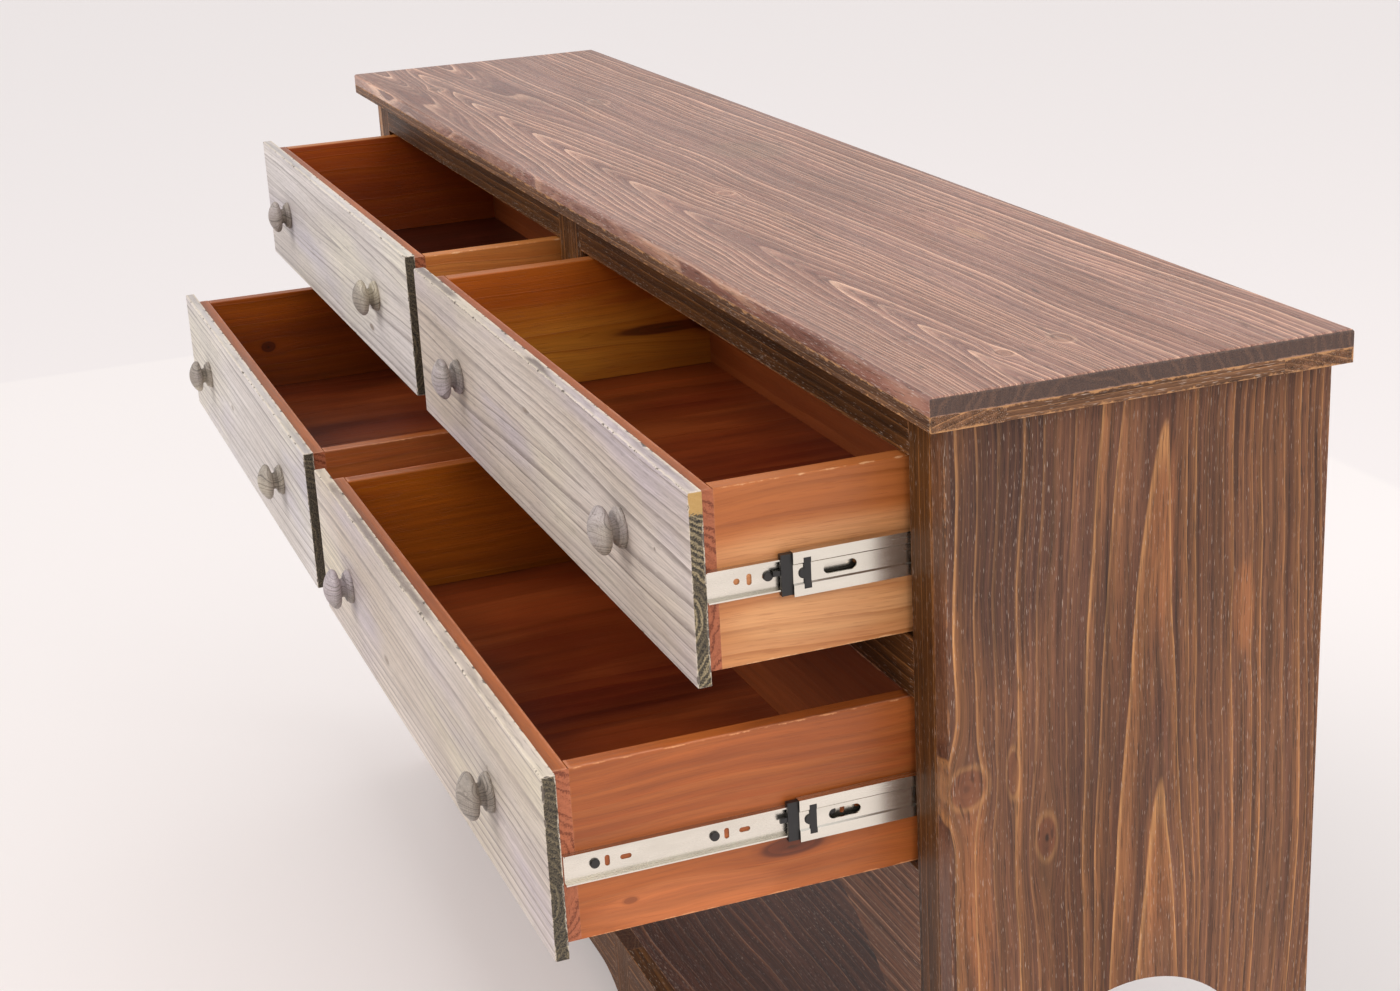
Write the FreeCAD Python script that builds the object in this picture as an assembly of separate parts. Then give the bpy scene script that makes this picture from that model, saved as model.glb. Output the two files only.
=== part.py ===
"""Dresser with four drawers on ball-bearing slides, open shelf below. Millimetres, +Z up, front faces -Y.

The origin is the middle of the underside of the front middle foot. The drawers stand partly open.
"""
import FreeCAD, Part
import math
import os

V = FreeCAD.Vector

# ---- overall sizes ----
TOP_LENGTH = 1800.0
TOP_DEPTH = 350.0
HEIGHT = 1040.0
SIDE_OVERHANG = 26.0
FRONT_OVERHANG = 23.0

# ---- boards of the case ----
TOP_THICKNESS = 14.0
STRIP_THICKNESS = 12.0
STRIP_WIDTH = 60.0
SIDE_THICKNESS = 20.0
FRAME_THICKNESS = 20.0
PARTITION_THICKNESS = 20.0
BACK_THICKNESS = 6.0
SHELF_THICKNESS = 18.0
RAIL_THICKNESS = 20.0
END_STILE_WIDTH = 57.0
CENTRE_STILE_WIDTH = 71.0
FOOT_WIDTH = 51.0
EDGE_ROUND = 3.0
BOARD_ROUND = 1.5

# ---- arches and the base ----
ARCH_RADIUS = 112.0
ARCH_APEX = 516.0
APRON_FLAT = 73.0
APRON_ARC_RADIUS = 262.0
SHELF_TOP = 133.0
BASE_RAIL_HEIGHT = 65.0
BRACKET_RADIUS = 120.0
BRACKET_LENGTH = 60.0

# ---- drawers ----
FRONT_HEIGHT = 152.0
FRONT_THICKNESS = 11.0
FRONT_SIDE_LAP = 7.0
TOP_TO_UPPER_FRONT = 66.0
BETWEEN_FRONTS = 44.0
BOX_BELOW_FRONT_TOP = 7.0
BOX_ABOVE_FRONT_BOTTOM = 3.0
BOX_DEPTH = 306.0
BOX_BOARD = 16.0
BOX_BACK_BOARD = 12.0
BOTTOM_THICKNESS = 5.0
BOTTOM_ABOVE_EDGE = 8.0
GROOVE_DEPTH = 6.0
GROOVE_PLAY = 0.3
RAIL_CLEARANCE = 4.0
APRON_CLEARANCE = 2.0
CLOSED_GAP = 0.5

# How far each drawer stands open.
OPENING = {"upper_left": 161.5, "upper_right": 166.0, "lower_left": 290.0, "lower_right": 290.0}

# ---- knobs, set by hand at slightly uneven places ----
KNOB_FROM_LEFT = {"upper_left": 140.0, "upper_right": 154.0, "lower_left": 150.0, "lower_right": 135.0}
KNOB_FROM_RIGHT = 158.0
KNOB_BELOW_TOP = {"upper_left": 76.0, "upper_right": 76.0, "lower_left": 75.0, "lower_right": 82.0}
KNOB_HEAD_RADIUS = 20.0
KNOB_ROSE_RADIUS = 17.0
KNOB_NECK_RADIUS = 9.0
KNOB_ROSE_THICKNESS = 5.0
KNOB_NECK_LENGTH = 7.0
KNOB_NECK_HOLLOW = 3.0
KNOB_HEAD_THICKNESS = 15.0
KNOB_DOME_RADIUS = 24.0
KNOB_RIM_DEPTH = 3.0

# ---- full-extension slides, 45 mm class with a 96 mm hole pitch ----
SLIDE_SPACE = 12.7
SLIDE_LENGTH = 300.0
SLIDE_SETBACK = 5.6
SLIDE_METAL = 1.2
# Height of a slide's middle below the upper edge of the drawer front that it carries.
SLIDE_DROP = {"upper": 81.5, "lower": 87.5}
OUTER_HEIGHT = 45.0
OUTER_FLANGE_TIP = 3.5
MIDDLE_HEIGHT = 35.0
MIDDLE_LENGTH = 290.0
MIDDLE_SETBACK = 16.0
MIDDLE_FACE = 9.2
MIDDLE_FLANGE_TIP = 2.0
MIDDLE_BAND_HEIGHT = 17.0
MIDDLE_BAND_STEP = 1.2
# How far the middle members stand out of the case.
MIDDLE_PROTRUSION = {"upper": 94.0, "lower": 97.0}
INNER_HEIGHT = 25.0
INNER_FLANGE_TIP = 5.5
HOLE_PITCH = 96.0
HOLE_GROUPS = 3
ROUND_HOLE_AT = 24.0
TALL_SLOT_AT = 34.0
LONG_SLOT_AT = 48.8
ROUND_HOLE_RADIUS = 2.5
HOLE_SLOT_WIDTH = 4.0
HOLE_SLOT_LENGTH = 9.0
WINDOW_FROM = 24.5
WINDOW_LENGTH = 27.0
WINDOW_HEIGHT = 8.5
KEY_FROM = 8.5
KEY_WIDTH = 5.5
KEY_HEIGHT = 24.0
KEY_NOSE_RADIUS = 4.0
KEY_PLAY = 0.3
CAGE_GAP = 0.3
CAGE_STRIP_BACK = 1.0
INNER_CAGE_LENGTH = 100.0
INNER_CAGE_LEAD = 9.0
LEVER_LENGTH = 6.0
LEVER_HEIGHT = 4.0
CAGE_PLATE = 0.9
CAGE_PLATE_LENGTH = 22.0
OUTER_CAGE_LENGTH = 85.0
OUTER_CAGE_PLATE = 1.5
CLEAT_HEIGHT = 60.0

# ---- screws ----
SCREW_HEAD_RADIUS = 3.9
SCREW_HEAD_HEIGHT = 2.2
SCREW_SHANK_RADIUS = 1.8
SCREW_LENGTH = 12.0
PILOT_PLAY = 0.1

# ---- derived places ----
CASE_WIDTH = TOP_LENGTH - 2 * SIDE_OVERHANG
CASE_DEPTH = TOP_DEPTH - FRONT_OVERHANG
CASE_TOP = HEIGHT - TOP_THICKNESS - STRIP_THICKNESS
FRONT_Y = -RAIL_THICKNESS / 2
BACK_Y = FRONT_Y + CASE_DEPTH
HALF_CASE = CASE_WIDTH / 2
SIDE_INNER = HALF_CASE - SIDE_THICKNESS
STILE_INNER = HALF_CASE - END_STILE_WIDTH
CENTRE_HALF = CENTRE_STILE_WIDTH / 2
FRONT_TOP = {"upper": HEIGHT - TOP_TO_UPPER_FRONT}
FRONT_TOP["lower"] = FRONT_TOP["upper"] - FRONT_HEIGHT - BETWEEN_FRONTS
BOX_TOP = {row: z - BOX_BELOW_FRONT_TOP for row, z in FRONT_TOP.items()}
BOX_BOTTOM = {row: z - FRONT_HEIGHT + BOX_ABOVE_FRONT_BOTTOM for row, z in FRONT_TOP.items()}
SLIDE_Z = {row: FRONT_TOP[row] - drop for row, drop in SLIDE_DROP.items()}
APRON_TOP = BOX_BOTTOM["lower"] - APRON_CLEARANCE
APRON_BOTTOM = APRON_TOP - APRON_FLAT
BASE_RAIL_BOTTOM = SHELF_TOP - BASE_RAIL_HEIGHT
FRAME_BACK = FRONT_Y + FRAME_THICKNESS
PANEL_FRONT = BACK_Y - BACK_THICKNESS


def block(x0, x1, y0, y1, z0, z1):
    """A box between two corners."""
    return Part.makeBox(x1 - x0, y1 - y0, z1 - z0, V(x0, y0, z0))


def mirror_x(shape):
    """The same shape on the other side of the dresser."""
    return shape.mirror(V(0, 0, 0), V(1, 0, 0))


def round_edges(shape, radius, chosen):
    """Round the edges whose middle point passes the test."""
    edges = [e for e in shape.Edges if chosen(e.CenterOfMass)]
    return shape.makeFillet(radius, edges)


def rounded_all(shape, radius):
    """Round every edge of a plain board."""
    return shape.makeFillet(radius, shape.Edges)


def outline_prism(edges, direction):
    """Extrude a closed outline of edges."""
    return Part.Face(Part.Wire(edges)).extrude(direction)


def export(name, solids):
    """Write one node from its separate solids."""
    shape = solids[0] if len(solids) == 1 else Part.makeCompound(solids)
    shape.exportStep("parts/" + name + ".step")


# ---- case ----

def top_board():
    front = FRONT_Y - FRONT_OVERHANG
    board = block(-TOP_LENGTH / 2, TOP_LENGTH / 2, front, BACK_Y, HEIGHT - TOP_THICKNESS, HEIGHT)
    return round_edges(board, EDGE_ROUND, lambda c: c.z > HEIGHT - TOP_THICKNESS / 4)


def top_edge_strips():
    """Strips that thicken the edge of the top: one along the front, one along the back, two at the ends."""
    half = TOP_LENGTH / 2
    front = FRONT_Y - FRONT_OVERHANG
    low = CASE_TOP
    high = CASE_TOP + STRIP_THICKNESS
    long_front = block(-half, half, front, front + STRIP_WIDTH, low, high)
    long_front = round_edges(long_front, BOARD_ROUND, lambda c: c.z < low + 1 and c.y < front + 1)
    long_back = block(-half, half, BACK_Y - STRIP_WIDTH, BACK_Y, low, high)
    right = block(half - STRIP_WIDTH, half, front + STRIP_WIDTH, BACK_Y - STRIP_WIDTH, low, high)
    right = round_edges(right, BOARD_ROUND, lambda c: c.z < low + 1 and c.x > half - 1)
    return [long_front, long_back, right, mirror_x(right)]


def side_panel():
    """Right side board with an arch between its legs. Its front edge shows beside the stile."""
    middle = FRONT_Y + CASE_DEPTH / 2
    spring = ARCH_APEX - ARCH_RADIUS
    board = block(SIDE_INNER, HALF_CASE, FRONT_Y, BACK_Y, 0, CASE_TOP)
    board = round_edges(board, BOARD_ROUND, lambda c: c.y < FRONT_Y + 1 and c.x > HALF_CASE - 1)
    opening = block(SIDE_INNER - 1, HALF_CASE + 1, middle - ARCH_RADIUS, middle + ARCH_RADIUS, -1, spring)
    crown = Part.makeCylinder(ARCH_RADIUS, SIDE_THICKNESS + 2, V(SIDE_INNER - 1, middle, spring), V(1, 0, 0))
    return board.cut(opening.fuse(crown)).removeSplitter()


def end_stile():
    return block(STILE_INNER, SIDE_INNER, FRONT_Y, FRAME_BACK, 0, CASE_TOP)


def centre_stile():
    return block(-CENTRE_HALF, CENTRE_HALF, FRONT_Y, FRAME_BACK, APRON_TOP, CASE_TOP)


def top_rails():
    """The rail over the upper drawers, one length in each bay."""
    low = BOX_TOP["upper"] + RAIL_CLEARANCE
    right = block(CENTRE_HALF, STILE_INNER, FRONT_Y, FRAME_BACK, low, CASE_TOP)
    return [right, mirror_x(right)]


def middle_rails():
    """The rail between the drawer rows, one length in each bay."""
    low = BOX_TOP["lower"] + RAIL_CLEARANCE
    high = BOX_BOTTOM["upper"] - APRON_CLEARANCE
    right = block(CENTRE_HALF, STILE_INNER, FRONT_Y, FRAME_BACK, low, high)
    return [right, mirror_x(right)]


def arc_point(centre_x, centre_z, radius, x):
    """Height of an arc's upper half over a place along the length."""
    return centre_z + math.sqrt(radius ** 2 - (x - centre_x) ** 2)


def dropped_rail(x0, x1, y0, y1, top, flat, radius, reach):
    """A rail whose lower edge is level and drops along an arc, over a given reach, at each end."""
    centre_z = flat - radius
    drop_z = arc_point(0, centre_z, radius, reach)
    half_z = arc_point(0, centre_z, radius, reach / 2)
    corners = [V(x0, y0, drop_z), V(x0, y0, top), V(x1, y0, top), V(x1, y0, drop_z)]
    edges = [Part.makeLine(corners[i], corners[i + 1]) for i in range(3)]
    right_start = V(x1 - reach, y0, flat)
    left_end = V(x0 + reach, y0, flat)
    edges.append(Part.Arc(corners[3], V(x1 - reach / 2, y0, half_z), right_start).toShape())
    edges.append(Part.makeLine(right_start, left_end))
    edges.append(Part.Arc(left_end, V(x0 + reach / 2, y0, half_z), corners[0]).toShape())
    return outline_prism(edges, V(0, y1 - y0, 0))


def front_apron():
    """The board under the lower drawers, with a large haunch at each end."""
    reach = APRON_ARC_RADIUS * 0.92
    return dropped_rail(-STILE_INNER, STILE_INNER, FRONT_Y, FRAME_BACK, APRON_TOP, APRON_BOTTOM,
                        APRON_ARC_RADIUS, reach)


def back_rail():
    return block(-SIDE_INNER, SIDE_INNER, PANEL_FRONT - RAIL_THICKNESS, PANEL_FRONT, APRON_BOTTOM, APRON_TOP)


def back_panel():
    return block(-SIDE_INNER, SIDE_INNER, PANEL_FRONT, BACK_Y, APRON_BOTTOM, CASE_TOP)


def centre_partition():
    """The board between the left and right drawers, notched over the back rail."""
    half = PARTITION_THICKNESS / 2
    board = block(-half, half, FRAME_BACK, PANEL_FRONT, APRON_BOTTOM, CASE_TOP)
    rail_front = PANEL_FRONT - RAIL_THICKNESS
    notch = block(-half - 1, half + 1, rail_front, PANEL_FRONT + 1, APRON_BOTTOM - 1, APRON_TOP)
    return board.cut(notch)


def slide_cleats():
    """Packing blocks that bring the slides flush with the edges of the stiles."""
    cleats = []
    for row in ("upper", "lower"):
        low = SLIDE_Z[row] - CLEAT_HEIGHT / 2
        high = SLIDE_Z[row] + CLEAT_HEIGHT / 2
        for x0, x1 in ((STILE_INNER, SIDE_INNER), (PARTITION_THICKNESS / 2, CENTRE_HALF)):
            cleat = block(x0, x1, FRAME_BACK, PANEL_FRONT - RAIL_THICKNESS, low, high)
            cleats += [cleat, mirror_x(cleat)]
    return cleats


def bottom_shelf():
    low = SHELF_TOP - SHELF_THICKNESS
    return block(-SIDE_INNER, SIDE_INNER, FRAME_BACK, BACK_Y - RAIL_THICKNESS, low, SHELF_TOP)


def base_rails():
    """Long base rails, two in front and two behind."""
    rails = []
    for y0, x1 in ((FRONT_Y, STILE_INNER), (BACK_Y - RAIL_THICKNESS, SIDE_INNER)):
        rail = dropped_rail(FOOT_WIDTH / 2, x1, y0, y0 + RAIL_THICKNESS, SHELF_TOP, BASE_RAIL_BOTTOM,
                            BRACKET_RADIUS, BRACKET_LENGTH)
        rails += [rail, mirror_x(rail)]
    return rails


def side_base_rails():
    """Base rails that close the foot of each side arch."""
    middle = FRONT_Y + CASE_DEPTH / 2
    rail = dropped_rail(-ARCH_RADIUS, ARCH_RADIUS, 0, SIDE_THICKNESS, SHELF_TOP, BASE_RAIL_BOTTOM,
                        BRACKET_RADIUS, BRACKET_LENGTH)
    rail.rotate(V(0, 0, 0), V(0, 0, 1), 90)
    rail.translate(V(HALF_CASE, middle, 0))
    return [rail, mirror_x(rail)]


def centre_feet():
    """Middle feet at the front and back, as high as the base rails."""
    half = FOOT_WIDTH / 2
    fronts = (FRONT_Y, BACK_Y - RAIL_THICKNESS)
    return [block(-half, half, y0, y0 + RAIL_THICKNESS, 0, SHELF_TOP) for y0 in fronts]


# ---- slides: built for the right end of a drawer, where t runs outward from the box side ----

def slide_profile(points, x0, side, y0, length):
    """Extrude a (t, z) outline along Y. side is +1 at the right end of a drawer and -1 at the left."""
    corners = [V(x0 + side * t, y0, z) for t, z in points]
    edges = [Part.makeLine(a, b) for a, b in zip(corners, corners[1:] + corners[:1])]
    return outline_prism(edges, V(0, length, 0))


def channel_points(z, back, tip, height):
    """Outline of a plain channel whose web lies at t = back and whose lips end at t = tip."""
    outer = height / 2
    inner = outer - SLIDE_METAL
    web = back - SLIDE_METAL if tip < back else back + SLIDE_METAL
    return [(back, z - outer), (tip, z - outer), (tip, z - inner), (web, z - inner),
            (web, z + inner), (tip, z + inner), (tip, z + outer), (back, z + outer)]


def ribbed_points(z):
    """Outline of the middle member: lips towards the drawer and a stepped-in middle band."""
    outer = MIDDLE_HEIGHT / 2
    inner = outer - SLIDE_METAL
    band = MIDDLE_BAND_HEIGHT / 2
    face = MIDDLE_FACE
    low_face = face - MIDDLE_BAND_STEP
    back = face - SLIDE_METAL
    low_back = low_face - SLIDE_METAL
    tip = MIDDLE_FLANGE_TIP
    return [(face, z - outer), (tip, z - outer), (tip, z - inner), (back, z - inner),
            (back, z - band - SLIDE_METAL), (low_back, z - band), (low_back, z + band),
            (back, z + band + SLIDE_METAL), (back, z + inner), (tip, z + inner), (tip, z + outer),
            (face, z + outer), (face, z + band), (low_face, z + band - SLIDE_METAL),
            (low_face, z - band + SLIDE_METAL), (face, z - band)]


def slot_cutter(x0, side, t0, t1, y, z, along_y, along_z):
    """A round-ended cutter through a slide's web, longer along Y or along Z."""
    radius = min(along_y, along_z) / 2
    shift_y = along_y / 2 - radius
    shift_z = along_z / 2 - radius
    start = V(x0 + side * t0, 0, 0)
    ends = []
    for sign in (-1, 1):
        centre = start + V(0, y + sign * shift_y, z + sign * shift_z)
        ends.append(Part.makeCylinder(radius, t1 - t0, centre, V(side, 0, 0)))
    low_x = min(x0 + side * t0, x0 + side * t1)
    high_x = max(x0 + side * t0, x0 + side * t1)
    grow_y = shift_y if along_y > along_z else radius
    grow_z = shift_z if along_z > along_y else radius
    middle = block(low_x, high_x, y - grow_y, y + grow_y, z - grow_z, z + grow_z)
    return ends[0].fuse([ends[1], middle])


def outer_member(x0, side, z):
    """Fixed to the case; its web lies on the cleat."""
    points = channel_points(z, SLIDE_SPACE, OUTER_FLANGE_TIP, OUTER_HEIGHT)
    return slide_profile(points, x0, side, FRONT_Y + SLIDE_SETBACK, SLIDE_LENGTH)


def middle_member(x0, side, z, y0):
    member = slide_profile(ribbed_points(z), x0, side, y0, MIDDLE_LENGTH)
    window_y = y0 + WINDOW_FROM + WINDOW_LENGTH / 2
    window = slot_cutter(x0, side, MIDDLE_FLANGE_TIP, SLIDE_SPACE, window_y, z, WINDOW_LENGTH, WINDOW_HEIGHT)
    return member.cut([window, key_solid(x0, side, z, y0, KEY_PLAY)])


def key_solid(x0, side, z, y0, play):
    """The cage's key: an upright bar with a round nose, which shows through the middle member."""
    t0 = MIDDLE_FACE - MIDDLE_BAND_STEP - SLIDE_METAL - play
    t1 = MIDDLE_FACE + play
    xs = sorted((x0 + side * t0, x0 + side * t1))
    low_y = y0 + KEY_FROM - play
    high_y = y0 + KEY_FROM + KEY_WIDTH + play
    half = KEY_HEIGHT / 2 + play
    bar = block(xs[0], xs[1], low_y, high_y, z - half, z + half)
    nose_centre = V(xs[0], y0 + KEY_FROM, z)
    nose = Part.makeCylinder(KEY_NOSE_RADIUS + play, xs[1] - xs[0], nose_centre, V(1, 0, 0))
    return bar.fuse(nose).removeSplitter()


def inner_cage(x0, side, z, y0):
    """Black ball cage between the drawer member and the middle member, with its front block and lever."""
    start = y0 - INNER_CAGE_LEAD
    outer = MIDDLE_HEIGHT / 2 - SLIDE_METAL
    inner = INNER_HEIGHT / 2 + CAGE_GAP
    plate_t1 = MIDDLE_FACE - MIDDLE_BAND_STEP - SLIDE_METAL
    plate_t0 = plate_t1 - CAGE_PLATE
    strip_t0 = MIDDLE_FLANGE_TIP

    def piece(t0, t1, ya, yb, za, zb):
        xs = sorted((x0 + side * t0, x0 + side * t1))
        return block(xs[0], xs[1], ya, yb, za, zb)

    strips = [piece(strip_t0, plate_t1, start, y0 + INNER_CAGE_LENGTH, z + inner, z + outer),
              piece(strip_t0, plate_t1, start, y0 + INNER_CAGE_LENGTH, z - outer, z - inner)]
    plate = piece(plate_t0, plate_t1, start, y0 + CAGE_PLATE_LENGTH, z - outer, z + outer)
    channel = INNER_HEIGHT / 2 - SLIDE_METAL - CAGE_GAP
    over_screws = SLIDE_METAL + SCREW_HEAD_HEIGHT + CAGE_GAP
    nose = piece(over_screws, plate_t1, start, y0, z - channel, z + channel)
    lever = piece(over_screws, plate_t0, start - LEVER_LENGTH, start, z, z + LEVER_HEIGHT)
    key = key_solid(x0, side, z, y0, 0)
    return strips[0].fuse([strips[1], plate, nose, lever, key]).removeSplitter()


def outer_cage(x0, side, z, y0):
    """Ball cage between the middle member and the case member, at the rear of the middle member."""
    end = y0 + MIDDLE_LENGTH
    start = end - OUTER_CAGE_LENGTH
    inner = MIDDLE_HEIGHT / 2
    outer = OUTER_HEIGHT / 2 - SLIDE_METAL - CAGE_GAP
    t0 = OUTER_FLANGE_TIP + CAGE_STRIP_BACK
    t1 = MIDDLE_FACE + OUTER_CAGE_PLATE
    xs = sorted((x0 + side * t0, x0 + side * t1))
    whole = block(xs[0], xs[1], start, end, z - outer, z + outer)
    inner_xs = sorted((x0 + side * (t0 - 1), x0 + side * MIDDLE_FACE))
    core = block(inner_xs[0], inner_xs[1], start - 1, end + 1, z - inner, z + inner)
    return whole.cut(core)


def screw_places(row):
    """Distances of the drawer screws behind the front end of the drawer member."""
    first = LONG_SLOT_AT if row == "upper" else ROUND_HOLE_AT
    return [first + i * HOLE_PITCH for i in range(HOLE_GROUPS)]


def inner_member(x0, side, z, y0):
    """Fixed to the drawer; its web lies on the box side."""
    points = channel_points(z, 0, INNER_FLANGE_TIP, INNER_HEIGHT)
    member = slide_profile(points, x0, side, y0, SLIDE_LENGTH)
    cutters = []
    for group in range(HOLE_GROUPS):
        shift = y0 + group * HOLE_PITCH
        round_start = V(x0 - side, shift + ROUND_HOLE_AT, z)
        cutters.append(Part.makeCylinder(ROUND_HOLE_RADIUS, SLIDE_METAL + 2, round_start, V(side, 0, 0)))
        cutters.append(slot_cutter(x0, side, -1, SLIDE_METAL + 1, shift + TALL_SLOT_AT, z,
                                   HOLE_SLOT_WIDTH, HOLE_SLOT_LENGTH))
        cutters.append(slot_cutter(x0, side, -1, SLIDE_METAL + 1, shift + LONG_SLOT_AT, z,
                                   HOLE_SLOT_LENGTH, HOLE_SLOT_WIDTH))
    return member.cut(cutters)


def slide_screw(x0, side, z, y):
    """Pan-head screw through the drawer member into the box side."""
    seat = V(x0 + side * SLIDE_METAL, y, z)
    shank = Part.makeCylinder(SCREW_SHANK_RADIUS, SCREW_LENGTH, seat, V(-side, 0, 0))
    head = Part.makeCylinder(SCREW_HEAD_RADIUS, SCREW_HEAD_HEIGHT, seat, V(side, 0, 0))
    head_middle = SLIDE_METAL + SCREW_HEAD_HEIGHT / 2
    head = round_edges(head, SCREW_HEAD_HEIGHT / 2, lambda c: abs(c.x - x0) > head_middle)
    return head.fuse(shank)


def pilot_hole(x0, side, z, y):
    start = V(x0 + side, y, z)
    return Part.makeCylinder(SCREW_SHANK_RADIUS + PILOT_PLAY, SCREW_LENGTH + 1, start, V(-side, 0, 0))


# ---- drawers ----

def knob(x, face_y, z):
    """Turned knob: round rose, narrow neck and a domed head. It points towards -Y."""
    rose_edge = KNOB_ROSE_THICKNESS * 0.6
    head_start = KNOB_ROSE_THICKNESS + KNOB_NECK_LENGTH
    tip = head_start + KNOB_HEAD_THICKNESS
    neck_mid = KNOB_ROSE_THICKNESS + KNOB_NECK_LENGTH / 2
    shoulder = KNOB_NECK_RADIUS + KNOB_NECK_HOLLOW
    dome_centre = tip - KNOB_DOME_RADIUS
    rim_inner = KNOB_HEAD_RADIUS - KNOB_RIM_DEPTH

    def at(radius, out):
        return V(x + radius, face_y - out, z)

    def on_dome(radius):
        return at(radius, dome_centre + math.sqrt(KNOB_DOME_RADIUS ** 2 - radius ** 2))

    rim_top = face_y - on_dome(rim_inner).y
    rim_low = rim_top - 2 * KNOB_RIM_DEPTH
    edges = [Part.makeLine(at(0, 0), at(KNOB_ROSE_RADIUS, 0)),
             Part.makeLine(at(KNOB_ROSE_RADIUS, 0), at(KNOB_ROSE_RADIUS, rose_edge)),
             Part.makeLine(at(KNOB_ROSE_RADIUS, rose_edge), at(shoulder, KNOB_ROSE_THICKNESS)),
             Part.Arc(at(shoulder, KNOB_ROSE_THICKNESS), at(KNOB_NECK_RADIUS, neck_mid),
                      at(shoulder, head_start)).toShape(),
             Part.makeLine(at(shoulder, head_start), at(rim_inner, rim_low)),
             Part.Arc(at(rim_inner, rim_low), at(KNOB_HEAD_RADIUS, rim_top - KNOB_RIM_DEPTH),
                      on_dome(rim_inner)).toShape(),
             Part.Arc(on_dome(rim_inner), on_dome(rim_inner / 2), at(0, tip)).toShape(),
             Part.makeLine(at(0, tip), at(0, 0))]
    return Part.Face(Part.Wire(edges)).revolve(V(x, 0, z), V(0, 1, 0), 360)


def box_with_groove(board, x0, x1, y0, y1, z):
    """Cut the groove for the drawer bottom into a box board."""
    low = z + BOTTOM_ABOVE_EDGE - GROOVE_PLAY / 2
    high = z + BOTTOM_ABOVE_EDGE + BOTTOM_THICKNESS + GROOVE_PLAY / 2
    return board.cut(block(x0, x1, y0, y1, low, high))


def drawer(row, hand):
    """All the pieces of one drawer and of the middle members of its two slides."""
    name = row + "_" + hand
    opening = OPENING[name]
    sign = 1 if hand == "right" else -1
    box_y = FRONT_Y - CLOSED_GAP - opening
    back_y = box_y + BOX_DEPTH
    opening_x = sorted((sign * CENTRE_HALF, sign * STILE_INNER))
    x0 = opening_x[0] + SLIDE_SPACE
    x1 = opening_x[1] - SLIDE_SPACE
    low = BOX_BOTTOM[row]
    high = BOX_TOP[row]
    front_top = FRONT_TOP[row]
    slide_z = SLIDE_Z[row]
    member_y = box_y + CLOSED_GAP + SLIDE_SETBACK
    middle_y = FRONT_Y - MIDDLE_PROTRUSION[row]
    ends = ((x0, -1), (x1, 1))

    front_x = (opening_x[0] - FRONT_SIDE_LAP, opening_x[1] + FRONT_SIDE_LAP)
    face_y = box_y - FRONT_THICKNESS
    front = block(front_x[0], front_x[1], face_y, box_y, front_top - FRONT_HEIGHT, front_top)
    front = round_edges(front, BOARD_ROUND, lambda c: c.y < face_y + 3 * FRONT_THICKNESS / 4)

    inner_front = box_y + BOX_BOARD
    groove_front = inner_front - GROOVE_DEPTH
    groove_x0 = x0 + BOX_BOARD - GROOVE_DEPTH
    groove_x1 = x1 - BOX_BOARD + GROOVE_DEPTH
    box_front = block(x0, x1, box_y, inner_front, low, high)
    box_front = round_edges(box_front, BOARD_ROUND, lambda c: c.z > high - 1 and c.y > inner_front - 1)
    box_front = box_with_groove(box_front, groove_x0, groove_x1, groove_front, inner_front + 1, low)

    sides = []
    for x, side in ends:
        inner_x = x - side * BOX_BOARD
        xs = sorted((x, inner_x))
        board = block(xs[0], xs[1], inner_front, back_y, low, high)
        board_middle = (inner_front + back_y) / 2
        board = round_edges(board, BOARD_ROUND, lambda c: c.z > high - 1 and abs(c.y - board_middle) < 1)
        groove_xs = sorted((inner_x + side * GROOVE_DEPTH, inner_x - side))
        groove_end = back_y - GROOVE_DEPTH
        board = box_with_groove(board, groove_xs[0], groove_xs[1], inner_front - 1, groove_end, low)
        pilots = [pilot_hole(x, side, slide_z, member_y + place) for place in screw_places(row)]
        sides.append(board.cut(pilots))

    box_back = block(x0 + BOX_BOARD, x1 - BOX_BOARD, back_y - BOX_BACK_BOARD, back_y, low, high)
    box_back = round_edges(box_back, BOARD_ROUND, lambda c: c.z > high - 1 and abs(c.x - (x0 + x1) / 2) < 1)
    box_back = box_with_groove(box_back, x0, x1, back_y - BOX_BACK_BOARD - 1, back_y - GROOVE_DEPTH, low)

    play = GROOVE_PLAY
    floor_low = low + BOTTOM_ABOVE_EDGE - GROOVE_PLAY / 2
    bottom = block(groove_x0 + play, groove_x1 - play, groove_front + play, back_y - GROOVE_DEPTH - play,
                   floor_low, floor_low + BOTTOM_THICKNESS)

    knob_z = front_top - KNOB_BELOW_TOP[name]
    knob_x = (front_x[0] + KNOB_FROM_LEFT[name], front_x[1] - KNOB_FROM_RIGHT)
    knobs = [knob(x, face_y, knob_z) for x in knob_x]

    places = [member_y + place for place in screw_places(row)]
    screws = [slide_screw(x, side, slide_z, y) for x, side in ends for y in places]

    prefix = "drawer_" + name + "_"
    export(prefix + "front", [front])
    export(prefix + "box_front", [box_front])
    export(prefix + "box_sides", sides)
    export(prefix + "box_back", [box_back])
    export(prefix + "bottom", [bottom])
    export(prefix + "knobs", knobs)
    export(prefix + "slide_members", [inner_member(x, side, slide_z, member_y) for x, side in ends])
    export(prefix + "slide_screws", screws)

    prefix = "slides_" + name + "_"
    export(prefix + "middle_members", [middle_member(x, side, slide_z, middle_y) for x, side in ends])
    export(prefix + "ball_cages", [maker(x, side, slide_z, middle_y) for x, side in ends
                                   for maker in (inner_cage, outer_cage)])


def case_slides():
    """The outer slide members of all four drawers."""
    members = []
    for row in ("upper", "lower"):
        for x, side in ((CENTRE_HALF + SLIDE_SPACE, -1), (STILE_INNER - SLIDE_SPACE, 1)):
            member = outer_member(x, side, SLIDE_Z[row])
            members += [member, mirror_x(member)]
    return members


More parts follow.
